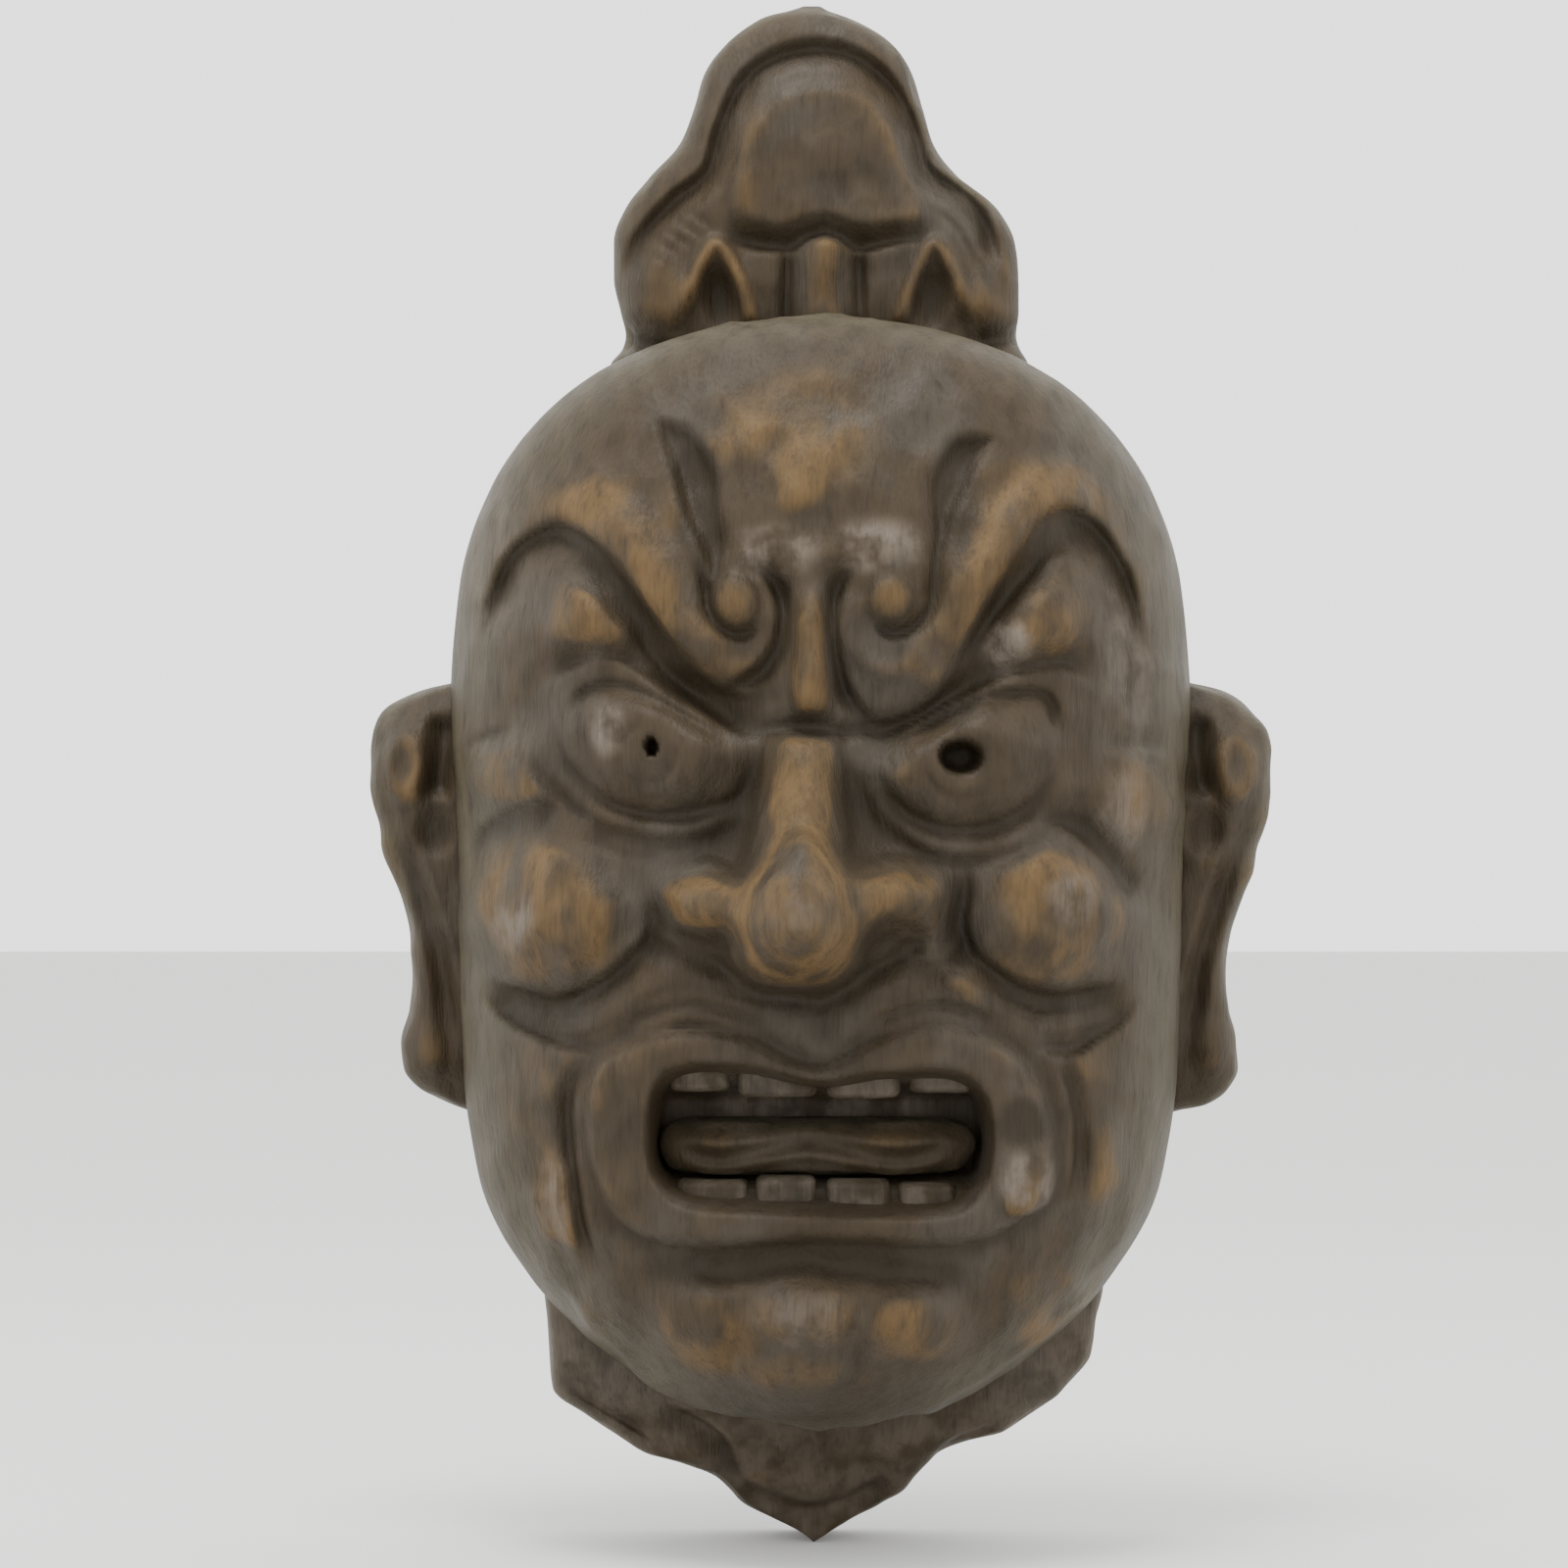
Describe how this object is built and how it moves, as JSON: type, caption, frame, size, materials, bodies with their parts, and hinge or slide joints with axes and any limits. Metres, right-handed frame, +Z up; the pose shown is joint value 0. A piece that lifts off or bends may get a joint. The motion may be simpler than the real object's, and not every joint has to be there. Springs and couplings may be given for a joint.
{
  "type": "carved wall mask",
  "caption": "Carved wooden guardian head for a wall: fierce face with bared teeth, topknot, long ears and pointed collar, hollow behind, hung by a swinging ring.",
  "frame": {"origin": "on the batten's back face, in the wall plane, on the mask's middle line and near the middle of its height", "axes": "+Z up, +X to the viewer's right, the face looks towards -Y, +Y out of the back into the wall"},
  "size_m": [0.2622, 0.172, 0.45],
  "materials": {
    "stained_wood": "dark stain rubbed back on the high points, satin wax",
    "dowel_wood": "bare",
    "batten_wood": "planed, oiled",
    "hanger_steel": "zinc plated, dull",
    "screw_brass": "aged"
  },
  "bodies": {
    "mask": {"face_block": "stained_wood", "topknot": "stained_wood", "ear_left": "stained_wood", "ear_right": "stained_wood", "collar": "stained_wood", "upper_teeth": "stained_wood", "lower_teeth": "stained_wood", "tongue": "stained_wood", "topknot_dowels": "dowel_wood", "collar_dowels": "dowel_wood", "ear_left_dowels": "dowel_wood", "ear_right_dowels": "dowel_wood", "batten": "batten_wood", "batten_screws": "screw_brass", "hanger_strap": "hanger_steel", "hanger_screws": "screw_brass"},
    "ring": {"hanger_ring": "hanger_steel"}
  },
  "joints": [
    {"name": "ring_swing", "type": "hinge", "parent": "mask", "child": "ring", "pos_m": [0, -0.0043, 0.038], "axis": [1, 0, 0], "range_deg": [0, 180]}
  ]
}
